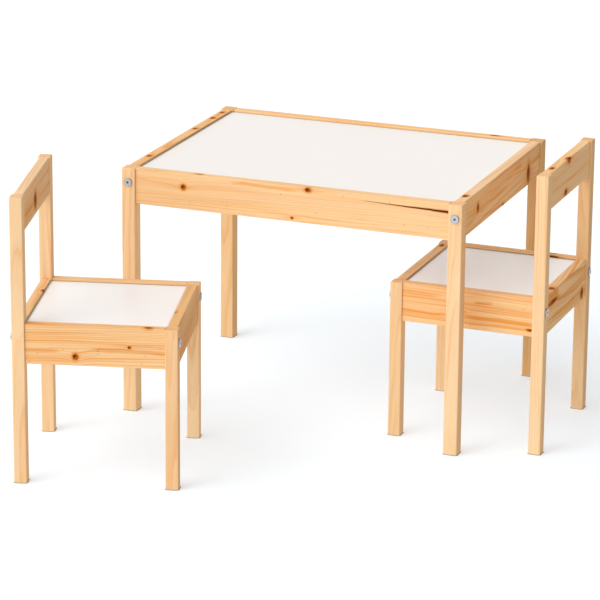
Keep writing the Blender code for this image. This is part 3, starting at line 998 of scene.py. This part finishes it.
def make_bolt(node, material):
    """A furniture bolt with a flat round-rimmed head and a hexagon socket."""
    direction = SIDEWAYS if body_of(node) == "table" else FACING
    low, high = own_box(node)
    out = outward_sign(node, direction)
    place = (low + high) / 2
    place[direction] = (high if out > 0 else low)[direction]
    head_radius = (high - low)[UPWARD] / 2
    length = (high - low)[direction]
    made = add_object(f"{node}_turned", from_bmesh("bolt", turned(bolt_profile(head_radius, length))))
    socket = hexagon(SOCKET_WIDTH, -OVERCUT, SOCKET_DEPTH)
    combined(made, from_bmesh("socket", socket), "DIFFERENCE")
    smooth(made)
    inward = Vector((0, 0, 0))
    inward[direction] = -out
    stand(made, node, place, inward)
    return settle(made, node, material)


def make_nut(node, material):
    """A barrel nut with round rims, a cross bore and a screwdriver slot on its inner end."""
    direction = FACING if body_of(node) == "table" else SIDEWAYS
    low, high = own_box(node)
    out = outward_sign(node, direction)
    place = (low + high) / 2
    place[direction] = (low if out > 0 else high)[direction]
    radius = (high - low)[UPWARD] / 2
    length = (high - low)[direction]
    rim = rounded_rim(radius, NUT_ROUND, NUT_RIM_POINTS)
    profile = [(0, 0)] + rim + [(r, length - along) for r, along in reversed(rim)] + [(0, length)]
    made = add_object(f"{node}_turned", from_bmesh("nut", turned(profile)))
    reach, bore_radius = radius * 2, NUT_BORE_DIAMETER / 2
    bore = turned([(0, -reach), (bore_radius, -reach), (bore_radius, reach), (0, reach)])
    across = Matrix.Translation((length / 2, 0, 0)) @ Matrix.Rotation(math.pi / 2, 4, "Z")
    bmesh.ops.transform(bore, matrix=across, verts=bore.verts)
    combined(made, from_bmesh("bore", bore), "DIFFERENCE")
    half = NUT_SLOT_WIDTH / 2
    slot = box_bmesh((-OVERCUT, -reach, -half), (NUT_SLOT_DEPTH, reach, half))
    combined(made, from_bmesh("slot", slot), "DIFFERENCE")
    smooth(made)
    inward = Vector((0, 0, 0))
    inward[direction] = out
    stand(made, node, place, inward)
    return settle(made, node, material)


def make_fasteners():
    zinc = bright_zinc()
    for body in ("table", "left_chair", "right_chair"):
        for corner in CORNERS:
            make_bolt(f"{body}_bolt_{corner}", zinc)
            make_nut(f"{body}_nut_{corner}", zinc)


def make_panels():
    for node in ("table_top_panel", "left_chair_seat_panel", "right_chair_seat_panel"):
        make_panel(node)


# ---------------------------------------------------------------- stage


def make_floor():
    """A pale glowing floor with a painted contact shadow close to what stands on it, and lights nothing
    itself.
    """
    bm = bmesh.new()
    bmesh.ops.create_circle(bm, cap_ends=True, segments=FLOOR_SIDES, radius=FLOOR_RADIUS)
    floor = add_object("floor", from_bmesh("floor", bm))
    shader = Shader("pale_floor")
    paint = shader.nodes.new("ShaderNodeBsdfDiffuse")
    glow = shader.nodes.new("ShaderNodeEmission")
    occlusion = shader.nodes.new("ShaderNodeAmbientOcclusion")
    occlusion.inputs["Distance"].default_value = CONTACT_SHADOW_REACH
    occlusion.samples = CONTACT_SHADOW_SAMPLES
    # Painted contact shadow: the floor's glow and colour are darkened where things stand close.
    shade = shader.math("POWER", occlusion.outputs["AO"], CONTACT_SHADOW_DEPTH)
    shader.put(glow.inputs["Color"], FLOOR_GLOW)
    shader.put(glow.inputs["Strength"], shade)
    shade = shader.join(shade, shade, shade)
    shader.put(paint.inputs["Color"], shader.vector("MULTIPLY", shade, FLOOR_COLOR))
    both = shader.nodes.new("ShaderNodeAddShader")
    shader.links.new(paint.outputs[0], both.inputs[0])
    shader.links.new(glow.outputs[0], both.inputs[1])
    shader.links.new(both.outputs[0], shader.nodes["Material Output"].inputs["Surface"])
    floor.data.materials.append(shader.material)
    floor.visible_diffuse = False
    floor.visible_glossy = False


def beam(sky, direction, toward, sharpness, strength):
    """Light that is strongest in one direction and fades to nothing a quarter turn from it."""
    facing = sky.math("MAXIMUM", sky.vector("DOT_PRODUCT", direction, toward, output="Value"), 0.0)
    facing = sky.math("POWER", facing, sharpness)
    return sky.vector("MULTIPLY", sky.join(facing, facing, facing), strength)


def make_light():
    """A studio sky and one large soft lamp.

    Above, the sky has a key glow from the front left, a glow overhead and one from the backdrop. Below, it
    turns from neutral to warm across X over a cool glow from straight down. A white band lies on the horizon.
    """
    world = bpy.data.worlds.new("studio")
    bpy.context.scene.world = world
    world.use_nodes = True
    sky = Shader("studio", world)
    direction = sky.texture_place("Generated")
    key = beam(sky, direction, KEY_FROM, KEY_SHARPNESS, KEY_LIGHT)
    top = beam(sky, direction, TOP_FROM, TOP_SHARPNESS, TOP_LIGHT)
    backdrop = beam(sky, direction, BACKDROP_FROM, BACKDROP_SHARPNESS, BACKDROP_LIGHT)
    above = sky.vector("ADD", sky.vector("ADD", sky.vector("ADD", key, top), backdrop), FILL_LIGHT)
    height = sky.split(direction)["Z"]
    low = beam(sky, direction, -UP, LOW_SHARPNESS, LOW_LIGHT)
    warmth = sky.ramp(sky.split(direction)["X"], *GROUND_BLEND)
    below = sky.vector("ADD", sky.mix(warmth, GROUND_LIGHT, WARM_GROUND_LIGHT), low)
    light = sky.mix(sky.ramp(height, *GROUND_EDGE), below, above)
    off_horizon = sky.ramp(sky.math("ABSOLUTE", height), *HORIZON_HEIGHTS)
    light = sky.mix(off_horizon, HORIZON_LIGHT, light)
    sky.put(world.node_tree.nodes["Background"].inputs["Color"], light)

    sun = bpy.data.lights.new("key", "SUN")
    sun.energy = LAMP_STRENGTH
    sun.angle = LAMP_SPREAD
    lamp = bpy.data.objects.new("key", sun)
    lamp.rotation_euler = LAMP_FROM.to_track_quat("Z", "Y").to_euler()
    bpy.context.scene.collection.objects.link(lamp)


def make_camera():
    camera = bpy.data.cameras.new("camera")
    camera.lens = CAMERA_LENS
    camera.sensor_width = CAMERA_SENSOR
    camera.clip_end = CAMERA_REACH
    holder = bpy.data.objects.new("camera", camera)
    turn = (
        Matrix.Rotation(CAMERA_YAW, 4, "Z")
        @ Matrix.Rotation(math.pi / 2 - CAMERA_DOWN, 4, "X")
        @ Matrix.Rotation(-CAMERA_ROLL, 4, "Z")
    )
    holder.matrix_world = Matrix.Translation(CAMERA_PLACE) @ turn
    bpy.context.scene.collection.objects.link(holder)
    bpy.context.scene.camera = holder


bpy.context.scene.view_settings.view_transform = "Standard"
make_camera()
make_light()
make_floor()
make_timber()
make_panels()
make_fasteners()
